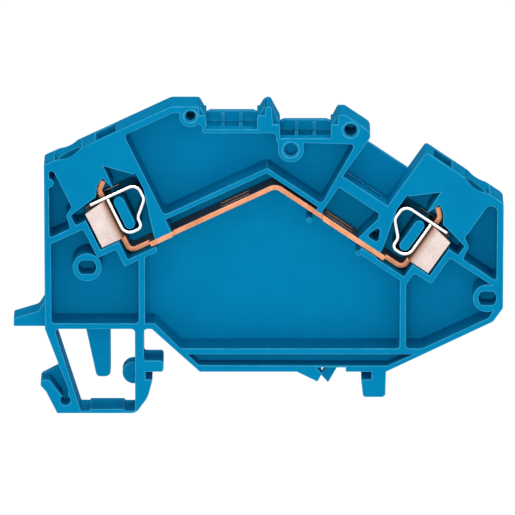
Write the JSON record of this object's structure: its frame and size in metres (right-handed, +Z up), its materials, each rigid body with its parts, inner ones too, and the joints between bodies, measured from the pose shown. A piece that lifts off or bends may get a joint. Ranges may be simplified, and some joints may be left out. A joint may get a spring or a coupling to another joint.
{
  "type": "feed-through terminal block",
  "caption": "Slim plastic terminal block that clips onto a mounting rail, open on one side, with a bent copper current bar and looped clamp springs in two slanted wire towers.",
  "frame": {"origin": "on the rail's top plane, at the middle of the rail and of the block's thickness", "axes": "+X across the rail towards the fixed hook, +Y along the rail towards the closed back, +Z up from the rail"},
  "size_m": [0.0763, 0.006, 0.0497],
  "materials": {
    "blue_moulding": "fine matt moulded polyamide",
    "tinned_copper": "bare copper cut edges with tinned faces",
    "spring_steel": "bright spring steel strip"
  },
  "bodies": {
    "block": {"housing": "blue_moulding", "current_bar": "tinned_copper"},
    "left_clamp": {"left_clamp_spring": "spring_steel"},
    "right_clamp": {"right_clamp_spring": "spring_steel"}
  },
  "joints": [
    {"name": "left_clamp_open", "type": "slide", "parent": "block", "child": "left_clamp", "axis": [-0.9026, 0, -0.4305], "range_m": [0, 0.0022], "stiffness_N_per_m": 2000, "deforming": ["left_clamp_spring"]},
    {"name": "right_clamp_open", "type": "slide", "parent": "block", "child": "right_clamp", "axis": [0.8241, 0, -0.5664], "range_m": [0, 0.0022], "stiffness_N_per_m": 2000, "deforming": ["right_clamp_spring"]}
  ]
}
